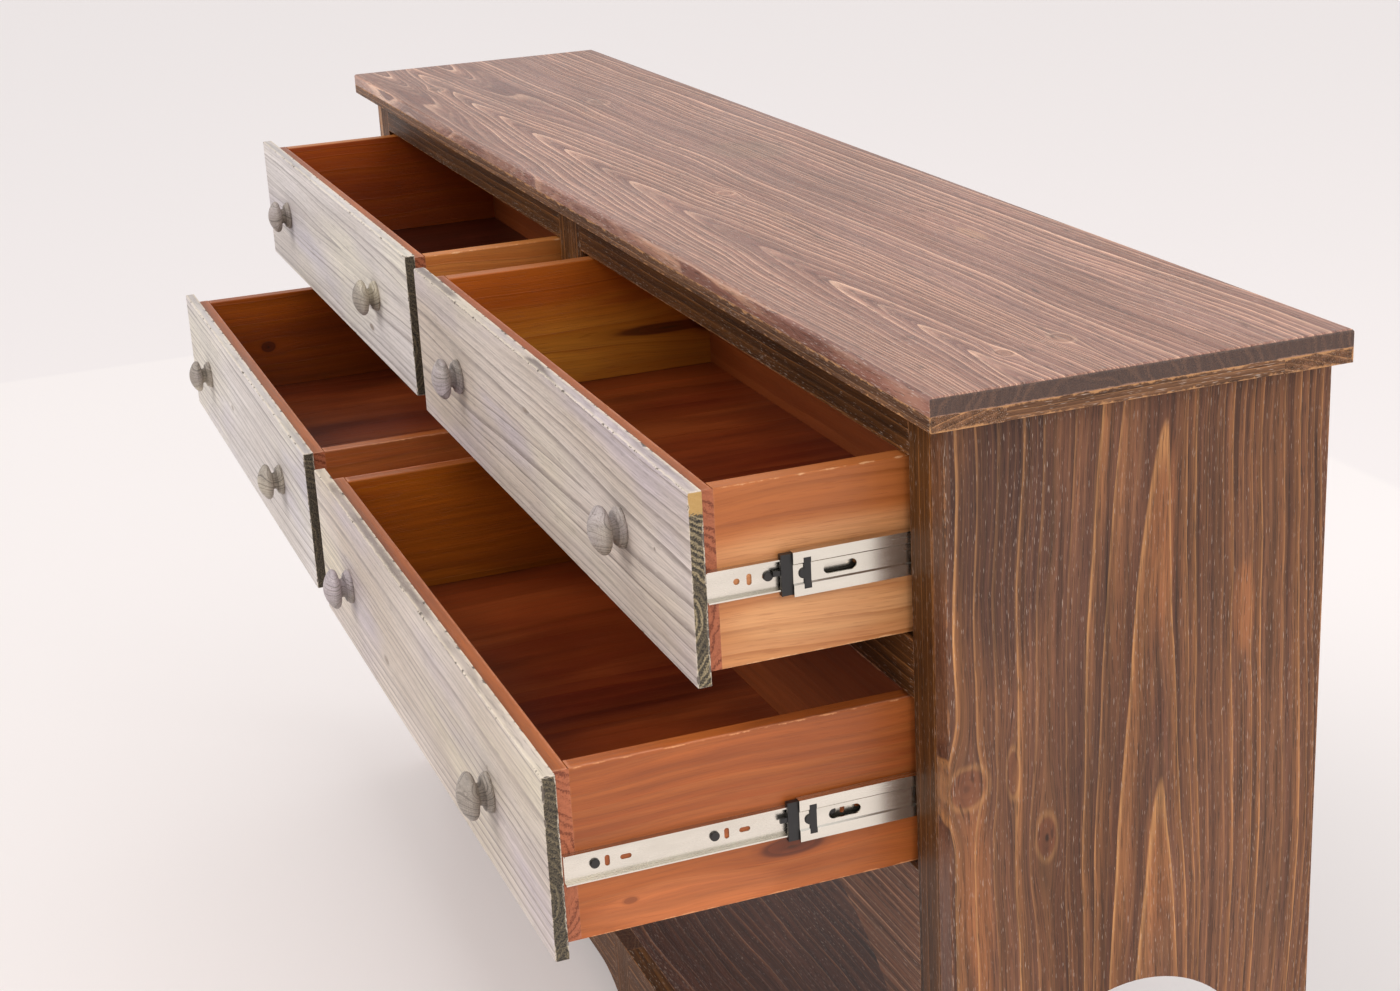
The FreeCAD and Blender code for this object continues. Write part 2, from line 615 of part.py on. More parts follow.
def main():
    os.makedirs("parts", exist_ok=True)
    side = side_panel()
    stile = end_stile()
    export("top_board", [top_board()])
    export("top_edge_strips", top_edge_strips())
    export("side_panel_right", [side])
    export("side_panel_left", [mirror_x(side)])
    export("stile_right", [stile])
    export("stile_left", [mirror_x(stile)])
    export("stile_centre", [centre_stile()])
    export("top_rails", top_rails())
    export("middle_rails", middle_rails())
    export("front_apron", [front_apron()])
    export("back_rail", [back_rail()])
    export("back_panel", [back_panel()])
    export("centre_partition", [centre_partition()])
    export("slide_cleats", slide_cleats())
    export("case_slide_members", case_slides())
    export("bottom_shelf", [bottom_shelf()])
    export("base_rails", base_rails())
    export("side_base_rails", side_base_rails())
    export("centre_feet", centre_feet())
    for row in ("upper", "lower"):
        for hand in ("left", "right"):
            drawer(row, hand)


main()
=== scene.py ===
import math
import random

import bpy
from mathutils import Matrix, Vector


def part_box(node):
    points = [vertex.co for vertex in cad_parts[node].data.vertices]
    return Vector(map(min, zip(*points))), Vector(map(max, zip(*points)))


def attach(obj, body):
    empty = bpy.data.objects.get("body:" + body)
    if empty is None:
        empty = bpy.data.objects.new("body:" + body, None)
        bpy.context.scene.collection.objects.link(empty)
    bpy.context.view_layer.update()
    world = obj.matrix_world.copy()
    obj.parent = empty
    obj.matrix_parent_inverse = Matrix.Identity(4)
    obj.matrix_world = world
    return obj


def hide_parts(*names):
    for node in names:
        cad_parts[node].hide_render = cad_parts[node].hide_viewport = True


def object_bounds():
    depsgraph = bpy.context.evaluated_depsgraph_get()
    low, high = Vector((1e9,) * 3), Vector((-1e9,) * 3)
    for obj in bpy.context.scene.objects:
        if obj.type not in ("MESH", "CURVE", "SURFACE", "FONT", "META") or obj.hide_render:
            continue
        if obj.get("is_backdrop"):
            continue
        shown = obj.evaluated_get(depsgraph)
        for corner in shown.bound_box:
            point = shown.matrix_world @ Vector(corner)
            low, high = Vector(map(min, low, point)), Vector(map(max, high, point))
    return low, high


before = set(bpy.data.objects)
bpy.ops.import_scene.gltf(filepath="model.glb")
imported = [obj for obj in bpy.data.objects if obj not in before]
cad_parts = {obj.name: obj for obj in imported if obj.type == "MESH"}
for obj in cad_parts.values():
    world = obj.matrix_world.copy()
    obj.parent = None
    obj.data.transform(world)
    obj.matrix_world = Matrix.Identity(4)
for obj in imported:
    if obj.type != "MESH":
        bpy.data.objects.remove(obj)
low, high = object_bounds()

X, Y, Z = 0, 1, 2
OUT_OF_SIGHT = 30.0         # knot radii added on the board of a pair that doesn't have the knot

# metres
WOOD_RELIEF = 0.0004
STEEL_RELIEF = 0.00005
PLASTIC_RELIEF = 0.00008
SKIN = 0.005                # into a box side from its outer face, where the painted inner shade starts
STRIP_INSIDE = 0.034        # how far the edge strips reach in past the outer faces of the side panels
JOINT_SLACK = 0.002


# ---------------------------------------------------------------- shader building

def linear(rgb):
    """A display colour, 0 to 255, as the linear colour that shaders use."""
    out = []
    for c in rgb:
        c = c / 255.0
        out.append(c / 12.92 if c <= 0.04045 else ((c + 0.055) / 1.055) ** 2.4)
    return (*out, 1.0)


class Num:
    """A number flowing through a material's nodes, with ordinary arithmetic."""

    def __init__(self, shader, socket):
        self.shader = shader
        self.socket = socket

    def __add__(self, other):
        return self.shader.math("ADD", self, other)

    def __sub__(self, other):
        return self.shader.math("SUBTRACT", self, other)

    def __mul__(self, other):
        return self.shader.math("MULTIPLY", self, other)

    def __truediv__(self, other):
        return self.shader.math("DIVIDE", self, other)

    def __neg__(self):
        return self.shader.math("MULTIPLY", self, -1.0)

    def least(self, other):
        return self.shader.math("MINIMUM", self, other)

    def most(self, other):
        return self.shader.math("MAXIMUM", self, other)

    def root(self):
        return self.shader.math("SQRT", self)

    def size(self):
        return self.shader.math("ABSOLUTE", self)

    def above(self, start, end):
        """0 below start, 1 above end, smooth between them."""
        return self.shader.smooth(self, start, end, 0.0, 1.0)

    def below(self, start, end):
        """1 below start, 0 above end, smooth between them."""
        return self.shader.smooth(self, start, end, 1.0, 0.0)


class Shader:
    """A node material with one Principled surface."""

    def __init__(self, name):
        self.material = bpy.data.materials.new(name)
        self.material.use_nodes = True
        self.tree = self.material.node_tree
        self.tree.nodes.clear()
        output = self.tree.nodes.new("ShaderNodeOutputMaterial")
        self.surface = self.tree.nodes.new("ShaderNodeBsdfPrincipled")
        self.tree.links.new(self.surface.outputs["BSDF"], output.inputs["Surface"])
        place = self.tree.nodes.new("ShaderNodeTexCoord")
        split = self.tree.nodes.new("ShaderNodeSeparateXYZ")
        self.tree.links.new(place.outputs["Object"], split.inputs[0])
        self.at = [Num(self, s) for s in split.outputs]
        facing = self.tree.nodes.new("ShaderNodeSeparateXYZ")
        self.tree.links.new(place.outputs["Normal"], facing.inputs[0])
        self.facing = [Num(self, s) for s in facing.outputs]

    def put(self, socket, value):
        if isinstance(value, Num):
            value = value.socket
        if isinstance(value, bpy.types.NodeSocket):
            self.tree.links.new(value, socket)
        else:
            socket.default_value = value

    def math(self, operation, *values):
        node = self.tree.nodes.new("ShaderNodeMath")
        node.operation = operation
        for socket, value in zip(node.inputs, values):
            self.put(socket, value)
        return Num(self, node.outputs[0])

    def smooth(self, value, a, b, low_out, high_out):
        node = self.tree.nodes.new("ShaderNodeMapRange")
        node.interpolation_type = "SMOOTHSTEP"
        for socket, v in zip(node.inputs, (value, a, b, low_out, high_out)):
            self.put(socket, v)
        return Num(self, node.outputs[0])

    def vector(self, x, y, z):
        node = self.tree.nodes.new("ShaderNodeCombineXYZ")
        for socket, value in zip(node.inputs, (x, y, z)):
            self.put(socket, value)
        return node.outputs[0]

    def noise(self, x, y, z, detail=2.0, roughness=0.5):
        """Smooth noise, about 0.2 to 0.8, at a point given in noise cells."""
        node = self.tree.nodes.new("ShaderNodeTexNoise")
        self.put(node.inputs["Vector"], self.vector(x, y, z))
        node.inputs["Scale"].default_value = 1.0
        node.inputs["Detail"].default_value = detail
        node.inputs["Roughness"].default_value = roughness
        return Num(self, node.outputs[0])

    def noise_line(self, w, detail=2.0):
        node = self.tree.nodes.new("ShaderNodeTexNoise")
        node.noise_dimensions = "1D"
        self.put(node.inputs["W"], w)
        node.inputs["Scale"].default_value = 1.0
        node.inputs["Detail"].default_value = detail
        return Num(self, node.outputs[0])

    def chance(self, w):
        """A random number from 0 to 1 for each whole number."""
        node = self.tree.nodes.new("ShaderNodeTexWhiteNoise")
        node.noise_dimensions = "1D"
        self.put(node.inputs["W"], w)
        return Num(self, node.outputs["Value"])

    def mix(self, factor, a, b, blend="MIX"):
        node = self.tree.nodes.new("ShaderNodeMix")
        node.data_type = "RGBA"
        node.blend_type = blend
        self.put(node.inputs[0], factor)
        for socket, value in ((node.inputs[6], a), (node.inputs[7], b)):
            self.put(socket, linear(value) if isinstance(value, tuple) else value)
        return node.outputs[2]

    def bright(self, colour, amount):
        """The colour times an amount."""
        grey = self.tree.nodes.new("ShaderNodeCombineColor")
        for socket in grey.inputs:
            self.put(socket, amount)
        return self.mix(1.0, colour, grey.outputs[0], "MULTIPLY")

    def bump(self, height, distance, strength=1.0):
        node = self.tree.nodes.new("ShaderNodeBump")
        node.inputs["Strength"].default_value = strength
        node.inputs["Distance"].default_value = distance
        self.put(node.inputs["Height"], height)
        self.tree.links.new(node.outputs[0], self.surface.inputs["Normal"])

    def edge_distance(self, box):
        """How far a point on the surface of a board is from the board's nearest edge."""
        lo, hi = box
        d = [(self.at[i] - lo[i]).least(-(self.at[i] - hi[i])).most(0.0) for i in range(3)]
        small = d[0].least(d[1])
        large = d[0].most(d[1])
        return large.least(small.most(d[2]))


# ---------------------------------------------------------------- wood

def plain_flow(pith=0.09):
    """Rings cut nearly square to the face: long lines side by side."""
    def flow(s, p, g, t, across, along):
        off = p - across(0.5)
        return off * 0.9 + (off * off + (t + pith) * (t + pith)).root() * 0.25
    return flow


def arch_flow(centre, apex, lean, roundness, reach=0.07, wide_side=1.0, other_side=1.0):
    """Rings cut at a slant: nested arches with a tip at a known place, straight lines beyond their reach.

    centre and apex place the tip as fractions across and along the board. reach is in metres.
    """
    def flow(s, p, g, t, across, along):
        off = p - across(centre)
        off = off.most(0.0) * wide_side + off.least(0.0) * other_side
        deep = t * 0.8 + roundness
        slant = off.size().below(reach * 0.4, reach) * 0.85 + 0.15
        return (off * off + deep * deep).root() - roundness + (g - along(apex)) * lean * slant
    return flow


class Wood(Shader):
    """The material of one sawn board.

    Grain runs along one axis and the growth rings show across the wide one.
    """

    def __init__(self, name, box, grain, wide, look, seed):
        super().__init__(name)
        self.look = look
        self.lo, self.hi = box
        self.grain, self.wide, self.thick = grain, wide, 3 - grain - wide
        rng = random.Random(seed * 77 + 5)
        self.shift = [rng.uniform(5, 90) for _ in range(6)]
        self.g = self.at[grain]
        self.p = self.at[wide]
        self.t = self.at[self.thick] - self.hi[self.thick]
        self.edge = self.edge_distance(box)

    def across(self, f):
        return self.lo[self.wide] + f * (self.hi[self.wide] - self.lo[self.wide])

    def along(self, f):
        return self.lo[self.grain] + f * (self.hi[self.grain] - self.lo[self.grain])

    def bend(self, knots):
        """Bends the grain round the knots, and returns each knot's (distance in radii, darkness)."""
        g, p, t, shift, thick = self.g, self.p, self.t, self.shift, self.thick
        drift = self.noise(g * 2.4 + shift[0], p * 6.0, t * 8.0 + shift[1], 2.0)
        self.wander = self.noise(g * 9.0 + shift[2], p * 20.0, t * 30.0, 2.0)
        bent = p + (drift - 0.5) * self.look["drift"] + (self.wander - 0.5) * self.look["wander"]
        marks = []
        for f, h, half_w, half_l, dark, only in knots:
            kp, kg = self.across(f), self.along(h)
            side = (p - kp) / half_w
            up = (g - kg) / half_l
            other = (self.at[thick] - (self.lo[thick] + self.hi[thick]) / 2) * -only
            elsewhere = other.above(0.0, 0.001) * OUT_OF_SIGHT
            wobble = (self.wander - 0.5) * 0.9 + 1.0
            marks.append(((side * side + up * up).root() * wobble + elsewhere, dark))
            far = (side * side * 0.3 + up * up * 0.09).root() + elsewhere
            bent = (bent - kp) * (far.above(0.0, 1.25) * 0.95 + 0.05) + kp
        self.bent = bent
        return marks

    def grow_rings(self, flow):
        """Sets where the rings' strong lines, the glow that leads up to them and the fine lines are."""
        look, shift = self.look, self.shift
        field = flow(self, self.bent, self.g, self.t, self.across, self.along)
        w = field / look["spacing"]
        uneven = self.noise_line(w * 0.31 + shift[3], 1.0) - 0.5
        w = w + uneven * look["uneven"] * w.size().above(0.2, 1.5)
        saw = self.math("FRACT", w)
        strong = self.chance(self.math("FLOOR", w) + shift[4]).above(0.05, 0.9)
        drop = saw.below(0.955, 1.0)
        line = saw.above(1.0 - look["line"], 0.95) * drop * (strong * 0.65 + 0.35)
        breaks = self.noise(self.g * 7.0 + shift[5], self.bent * 60.0, self.t * 60.0, 2.0)
        self.line = line * (breaks.above(0.2, 0.62) * 0.6 + 0.4)
        self.glow = saw.above(0.15, 0.97) * drop * (strong * 0.7 + 0.3)
        fine_saw = self.math("FRACT", w * 3.37 + uneven * 4.0)
        self.fine = fine_saw.above(0.5, 0.92) * fine_saw.below(0.93, 1.0)

    def ground(self, patches):
        """The cloudy ground colour with its patches and ring lines."""
        look, shift, g, p, t = self.look, self.shift, self.g, self.p, self.t
        patchy = self.noise(g * 2.6, p * 10.0 + shift[4], t * 10.0, 3.0).above(0.32, 0.72)
        colour = self.mix(patchy, look["dark"], look["tint"])
        # Blotches of the wash on the fronts; on the drawer bottoms the dark patches are painted shade and
        # the pale ones painted sheen.
        if "blotch_and_shade" in look:
            cool = self.noise(g * 3.0 + shift[2], p * 12.0, t * 10.0, 3.0).above(0.48, 0.68)
            pale = self.noise(g * 2.2 + shift[1], p * 9.0, t * 10.0 + 3.0, 3.0).above(0.5, 0.7)
            colour = self.mix(cool * 0.8, colour, look["blotch_and_shade"])
            colour = self.mix(pale * 0.7, colour, look["pale"])
        colour = self.mix(self.glow * look["glow"], colour, look["mid"])
        for f, h, half_w, half_l, strength, shade in patches:
            side = (self.bent - self.across(f)) / half_w
            up = (g - self.along(h)) / half_l
            spot = ((side * side + up * up).root() + (self.wander - 0.5) * 0.5).below(0.6, 1.05)
            colour = self.mix(spot * strength, colour, shade)
        colour = self.mix(self.fine * look["fine"], colour, look["light"])
        return self.mix(self.line * look["lines"], colour, look["light"])

    def add_knots(self, colour, marks):
        look = self.look
        for away, dark in marks:
            ring = self.math("FRACT", away * 2.3 + self.wander * 3.0)
            shade = self.mix(ring * 0.45, look["knot"], look["knot_rim"])
            shade = self.mix(away.below(0.08, 0.26) * dark, shade, look["knot_heart"])
            colour = self.mix(away.below(0.75, 1.05) * (0.4 + 0.5 * dark), colour, shade)
            rim = away.above(0.78, 1.0) * away.below(1.02, 1.35)
            colour = self.mix(rim * 0.25, colour, look["light"])
        return colour

    def add_fibres(self, colour):
        """Fibres, dark pores, and the pale flecks that the wash left in the pores."""
        look, shift, g, p, t, bent = self.look, self.shift, self.g, self.p, self.t, self.bent
        self.fibre = self.noise(g * 16.0, bent * 700.0, t * 700.0 + shift[0], 3.0, 0.65)
        streak = self.noise(g * 4.0, bent * 170.0 + shift[1], t * 170.0, 2.0, 0.5)
        light = (self.fibre - 0.5) * look["fibre"] + (streak - 0.5) * look["fibre"] * 1.4 + 1.0
        colour = self.bright(colour, light)
        pores = self.noise(g * 40.0 + shift[1], bent * 900.0, t * 900.0, 1.0)
        self.pores = pores.above(0.58, 0.70)
        region = self.noise(g * 6.0, p * 20.0 + shift[0], t * 20.0, 3.0).above(0.40, 0.72)
        near_edge = self.edge.below(0.0, look["fleck_edge"])
        amount = region * look["fleck_field"] + near_edge * 0.05
        flecks = self.noise(g * 110.0 + shift[3], p * 1500.0, t * 1500.0, 1.0)
        self.flecks = (flecks + amount).above(0.67, 0.77) * look["flecks"]
        colour = self.mix(self.pores * look["pores"], colour, look["pore"])
        return self.mix(self.flecks, colour, look["fleck"])

    def add_end_grain(self, colour, end_patch):
        """Curved rings and rays on the two end faces, from a pith outside the board."""
        look, shift, g, p, t = self.look, self.shift, self.g, self.p, self.t
        self.end_face = self.facing[self.grain].size().above(0.6, 0.85)
        self.rays = self.noise(p * 800.0, t * 800.0, g * 800.0, 2.0).above(0.35, 0.7)
        off = p - self.across(0.35)
        deep = self.at[self.thick] - (self.lo[self.thick] - 0.035)
        swing = self.noise(p * 40.0 + shift[2], t * 40.0, g * 3.0, 2.0) - 0.5
        ring = (off * off + deep * deep).root() / look["end_spacing"] + swing * 2.6
        saw = self.math("FRACT", ring + (self.rays - 0.5) * 0.3)
        strong = self.chance(self.math("FLOOR", ring) + shift[1]).above(0.1, 0.8)
        line = saw.above(0.35, 0.9) * saw.below(0.92, 1.0) * (strong * 0.8 + 0.2)
        amount = line * look["end_lines"] + self.rays * 0.25
        end_colour = self.mix(amount, look["end_dark"], look["end_light"])
        if end_patch is not None:
            place, half, shade = end_patch
            bare = ((p - self.across(place)).size() / half + (self.rays - 0.5) * 0.3).below(0.9, 1.1)
            end_colour = self.mix(bare * 0.9, end_colour, shade)
        return self.mix(self.end_face * look["end"], colour, end_colour)

    def add_wear(self, colour):
        """Pale rubbed edges, less at the board's ends where the look says so, and chipped ones."""
        look, g, edge, width = self.look, self.g, self.edge, self.look["wear_width"]
        at = self.at
        ragged = self.noise(at[0] * 70.0, at[1] * 70.0, at[2] * 70.0 + self.shift[4], 4.0, 0.7)
        from_end = (g - self.lo[self.grain]).least(-(g - self.hi[self.grain]))
        kept = from_end.above(width * 2.0, width * 5.0) * (1.0 - look["end_wear"]) + look["end_wear"]
        self.worn = (edge + (ragged - 0.45) * width * 5.0).below(width * 0.2, width) * kept
        colour = self.mix(self.worn * look["wear"], colour, look["wear_colour"])
        if "crown" in look:
            upward = self.facing[Z].above(0.7, 0.95) * edge.below(0.0, 0.004)
            colour = self.mix(upward * ragged.above(0.3, 0.6) * 0.8, colour, look["crown"])
        chips = edge + (ragged - 0.5) * width * 12.0 + width * 0.8
        self.chips = chips.below(0.0, width * 0.5) * look["chips"]
        return self.mix(self.chips, colour, look["pore"])

    def deepen_inside(self, colour, inside):
        """Paints shade on the inner faces of a pair of boards: multiplies their colour, darkest at the
        foot.
        """
        place, lo, hi = self.at[self.thick], self.lo, self.hi
        depth = (place - lo[self.thick]).least(-(place - hi[self.thick]))
        inner = depth.above(SKIN - 0.001, SKIN + 0.001) * self.facing[Z].below(0.5, 0.8)
        height = (self.at[Z] - lo[Z]) / (hi[Z] - lo[Z])
        shaded = self.bright(self.mix(1.0, colour, inside, "MULTIPLY"), height * 0.5 + 0.78)
        return self.mix(inner, colour, shaded)


def wood(name, box, grain, wide, look, seed=0, knots=(), flow=None, patches=(), inside=None,
         end_patch=None):
    """Material of a sawn board, with a look that is one of the dictionaries below.

    knots are (across, along, half width, half length, darkness, side).
    patches are (across, along, half width, half length, strength, colour).
    end_patch is (across, half width, colour) of a bare spot on the end grain.
    Places are fractions of the box and sizes are in metres. A knot's side is 0 for both of a pair
    of boards, or -1 or 1 for the one of them on that side.
    The inside tint multiplies the colour on the inner faces of a pair of box sides: painted shade, darkest
    at the foot.
    """
    s = Wood(name, box, grain, wide, look, seed)
    marks = s.bend(knots)
    s.grow_rings(flow or plain_flow())
    colour = s.add_knots(s.ground(patches), marks)
    colour = s.add_fibres(colour)
    colour = s.add_end_grain(colour, end_patch)
    colour = s.add_wear(colour)
    dirt = s.noise(s.at[0] * 3.5, s.at[1] * 3.5, s.at[2] * 3.5 + s.shift[5], 4.0, 0.6)
    colour = s.bright(colour, (dirt - 0.5) * look["dirt"] + 1.0)
    # painted shade on the inner faces of the box sides, deepest at the foot
    if inside is not None:
        colour = s.deepen_inside(colour, inside)
    s.put(s.surface.inputs["Base Color"], colour)
    rough = (s.fibre - 0.5) * 0.35 - s.line * 0.08 + s.flecks * 0.15 + s.worn * 0.1
    rough = rough + (dirt - 0.5) * 0.15 + look["rough"]
    s.put(s.surface.inputs["Roughness"], rough + s.end_face * 0.15)
    s.surface.inputs["Specular IOR Level"].default_value = look["gloss"]
    s.surface.inputs["Coat Weight"].default_value = look["coat"]
    s.surface.inputs["Coat Roughness"].default_value = 0.3
    relief = s.line * 0.7 + s.glow * 0.3 + s.fibre * 0.7
    relief = relief - s.pores * 0.6 - s.worn * 0.4 - s.chips * 1.5
    s.bump(relief + s.rays * s.end_face * 0.5, WOOD_RELIEF, look["bump"])
    return s.material


# The looks of the woods. Colours are display colours, 0 to 255: dark and tint make the ground, mid leads up
# to each ring's line, and light is the line itself, which is darker than the ground where the wood is pale.
# spacing, end_spacing, drift, wander, fleck_edge and wear_width are metres, line is the part of a ring that
# its line takes, end_wear is the part of the wear that a board's ends keep, and the rest are strengths.

CASE = dict(dark=(84, 51, 34), tint=(106, 70, 52), mid=(151, 100, 60), light=(192, 140, 88),
            knot=(112, 66, 44), knot_rim=(128, 80, 52), knot_heart=(34, 18, 14), pore=(36, 21, 17),
            fleck=(200, 182, 168), end_dark=(58, 36, 28), end_light=(108, 76, 58), end=0.8,
            end_spacing=0.005, end_lines=0.55, wear_colour=(168, 116, 76), wear=0.5,
            wear_width=0.0011, end_wear=1.0, chips=0.0, spacing=0.0179, line=0.17, lines=0.55,
            fine=0.08, glow=0.6, uneven=2.0, drift=0.034, wander=0.0045, fibre=1.35, pores=0.5,
            flecks=0.55, fleck_field=0.035, fleck_edge=0.012, dirt=0.4, rough=0.52, gloss=0.3,
            coat=0.03, bump=0.7)

# The top is paler and pinker than the case: partly its own colour, partly painted sheen of the light across
# it.
TOP = dict(CASE, dark=(124, 80, 65), tint=(140, 100, 90), mid=(200, 153, 130),
           light=(242, 196, 164), knot=(130, 86, 68), knot_rim=(204, 154, 124), spacing=0.0070,
           line=0.24, lines=0.75, glow=0.75, fine=0.15, rough=0.37, gloss=0.5, coat=0.18,
           fleck=(226, 212, 202), fleck_field=0.04, flecks=0.45, end_dark=(54, 33, 25),
           end_light=(106, 74, 54), end=0.97, end_spacing=0.008, end_lines=0.45,
           wear_colour=(180, 138, 114), fibre=0.7, dirt=0.3, wander=0.002, drift=0.03)

STILE = dict(CASE, dark=(64, 36, 14), tint=(79, 48, 20), mid=(106, 66, 31), light=(154, 102, 54),
             spacing=0.008, line=0.24, lines=0.6, uneven=1.2, drift=0.008, wander=0.002, gloss=0.15,
             coat=0.0)

APRON = dict(STILE, dark=(82, 50, 34), tint=(98, 66, 50), mid=(126, 86, 62), light=(186, 142, 108),
             spacing=0.01)

FRONT = dict(CASE, dark=(188, 174, 160), tint=(205, 194, 186), mid=(170, 155, 146),
             light=(98, 86, 82), blotch_and_shade=(182, 171, 178), pale=(210, 200, 176), knot=(120, 104, 94),
             knot_rim=(176, 160, 140), knot_heart=(50, 42, 38), pore=(70, 60, 54),
             fleck=(232, 225, 216), end_dark=(27, 23, 19), end_light=(168, 152, 118), end=0.98,
             end_spacing=0.0045, end_lines=0.25, wear_colour=(228, 216, 198), wear=0.75,
             wear_width=0.0013, chips=0.85, spacing=0.0085, line=0.34, lines=0.68, fine=0.22,
             glow=0.42, uneven=2.4, drift=0.012, wander=0.001, fibre=0.42, pores=0.25, flecks=0.35,
             dirt=0.2, rough=0.52, gloss=0.4, coat=0.0, bump=0.6, crown=(232, 218, 198))

COOL_FRONT = dict(FRONT, dark=(198, 190, 184), tint=(214, 208, 206), mid=(180, 171, 167),
                  light=(108, 98, 95), blotch_and_shade=(190, 184, 192), pale=(216, 210, 194))

PINE = dict(CASE, dark=(184, 106, 44), tint=(204, 130, 60), mid=(210, 140, 72), light=(152, 80, 34),
            knot=(76, 28, 10), knot_rim=(118, 52, 20), knot_heart=(26, 8, 4), pore=(130, 62, 28),
            fleck=(220, 170, 120), end_dark=(112, 58, 34), end_light=(190, 120, 78), end=0.8,
            wear_colour=(236, 186, 138), wear=0.65, wear_width=0.0012, end_wear=0.1, spacing=0.014,
            line=0.3, lines=0.45, fine=0.15, glow=0.6, wander=0.003, fibre=0.26, pores=0.22,
            flecks=0.0, fleck_field=0.0, dirt=0.45, rough=0.42, gloss=0.4, coat=0.1, bump=0.4)

YELLOW_PINE = dict(PINE, dark=(190, 120, 68), tint=(220, 164, 112), mid=(200, 134, 76),
                   light=(138, 70, 28), lines=0.42, spacing=0.016, fine=0.12)

RED_PINE = dict(PINE, dark=(146, 73, 29), tint=(180, 99, 43), mid=(178, 102, 47),
                light=(118, 56, 24), fibre=0.5, lines=0.32, fine=0.08, wear_colour=(226, 162, 112),
                crown=(208, 140, 108))

BOX_FRONT = dict(RED_PINE, end_dark=(180, 106, 74), end_light=(96, 38, 20), end_lines=0.85,
                 end_spacing=0.006)

# The bottoms' dark and pale patches are painted shade and painted sheen of the light inside the drawers.
BOTTOM = dict(PINE, dark=(98, 30, 10), tint=(150, 66, 26), mid=(140, 62, 24), light=(92, 32, 12),
              wear=0.0, blotch_and_shade=(74, 20, 7), pale=(168, 84, 36), spacing=0.024, lines=0.3, dirt=1.0,
              drift=0.06, coat=0.15, rough=0.38)

# The upper left drawer's bottom, painted darker all over as shade.
SHADED_BOTTOM = dict(BOTTOM, dark=(52, 13, 4), tint=(82, 26, 9), mid=(76, 26, 10), light=(54, 16, 6),
                   blotch_and_shade=(44, 11, 4), pale=(92, 36, 15))

BACK = dict(CASE, dark=(50, 30, 24), tint=(60, 40, 32), mid=(82, 54, 42), lines=0.28, flecks=0.3,
            drift=0.015, wander=0.002)

SHELF = dict(CASE, dark=(58, 30, 20), tint=(72, 42, 32), mid=(94, 58, 42), light=(134, 92, 66),
             spacing=0.012, rough=0.4, coat=0.1)


def paint(node, material):
    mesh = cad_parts[node].data
    mesh.materials.clear()
    mesh.materials.append(material)


def board(node, grain, wide, look, **more):
    paint(node, wood("wood_" + node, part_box(node), grain, wide, look, **more))


warm = (140, 88, 54)
side_marks = dict(
    knots=[(0.045, 0.71, 0.014, 0.015, 0.4, 0), (0.254, 0.654, 0.010, 0.022, 0.9, 0),
           (0.166, 0.715, 0.005, 0.02, 0.2, 0)],
    patches=[(0.14, 0.91, 0.055, 0.13, 0.7, (58, 36, 30)), (0.36, 0.80, 0.03, 0.16, 0.35, (66, 44, 38)),
             (0.577, 0.88, 0.014, 0.10, 0.6, warm), (0.555, 0.60, 0.012, 0.07, 0.5, warm),
             (0.79, 0.81, 0.011, 0.045, 0.7, warm), (0.055, 0.62, 0.015, 0.085, 0.7, warm),
             (0.06, 0.46, 0.012, 0.12, 0.6, warm)],
    flow=arch_flow(0.575, 0.975, 0.061, 0.0156, reach=0.075, wide_side=1.75, other_side=0.8))
board("side_panel_right", Z, Y, CASE, seed=1, **side_marks)
board("side_panel_left", Z, Y, CASE, seed=2, flow=arch_flow(0.4, 0.9, 0.07, 0.016, other_side=1.5),
      knots=[(0.7, 0.8, 0.012, 0.02, 0.8, 0), (0.2, 0.66, 0.01, 0.02, 0.6, 0)])
for index, hand in enumerate(("left", "right", "centre")):
    board("stile_" + hand, Z, X, STILE, seed=10 + index)
board("top_board", X, Y, TOP, seed=20,
      flow=arch_flow(0.22, 0.62, -0.055, 0.012, reach=0.09, other_side=1.2),
      knots=[(0.395, 0.592, 0.009, 0.012, 0.4, 0), (0.441, 0.95, 0.009, 0.014, 0.5, 0),
             (0.281, 0.958, 0.007, 0.010, 0.5, 0), (0.6, 0.25, 0.01, 0.02, 0.5, 0),
             (0.18, 0.12, 0.01, 0.018, 0.6, 0)],
      patches=[(0.75, 0.757, 0.010, 0.035, 0.6, (176, 132, 104)),
               (0.5, 0.30, 0.012, 0.04, 0.35, (160, 116, 92)),
               (0.7, 0.48, 0.05, 0.07, 0.35, (128, 104, 84)),
               (0.42, 0.66, 0.012, 0.018, 0.5, (166, 122, 98))])
for index, node in enumerate(("top_rails", "middle_rails", "back_rail", "base_rails")):
    board(node, X, Z, STILE, seed=30 + index)
board("front_apron", X, Z, APRON, seed=34)
board("side_base_rails", Y, Z, STILE, seed=36)
board("centre_feet", Z, X, STILE, seed=37)
board("bottom_shelf", X, Y, SHELF, seed=38)
board("back_panel", X, Z, BACK, seed=39)
board("centre_partition", Y, Z, BACK, seed=40)
board("slide_cleats", Y, Z, BACK, seed=41)

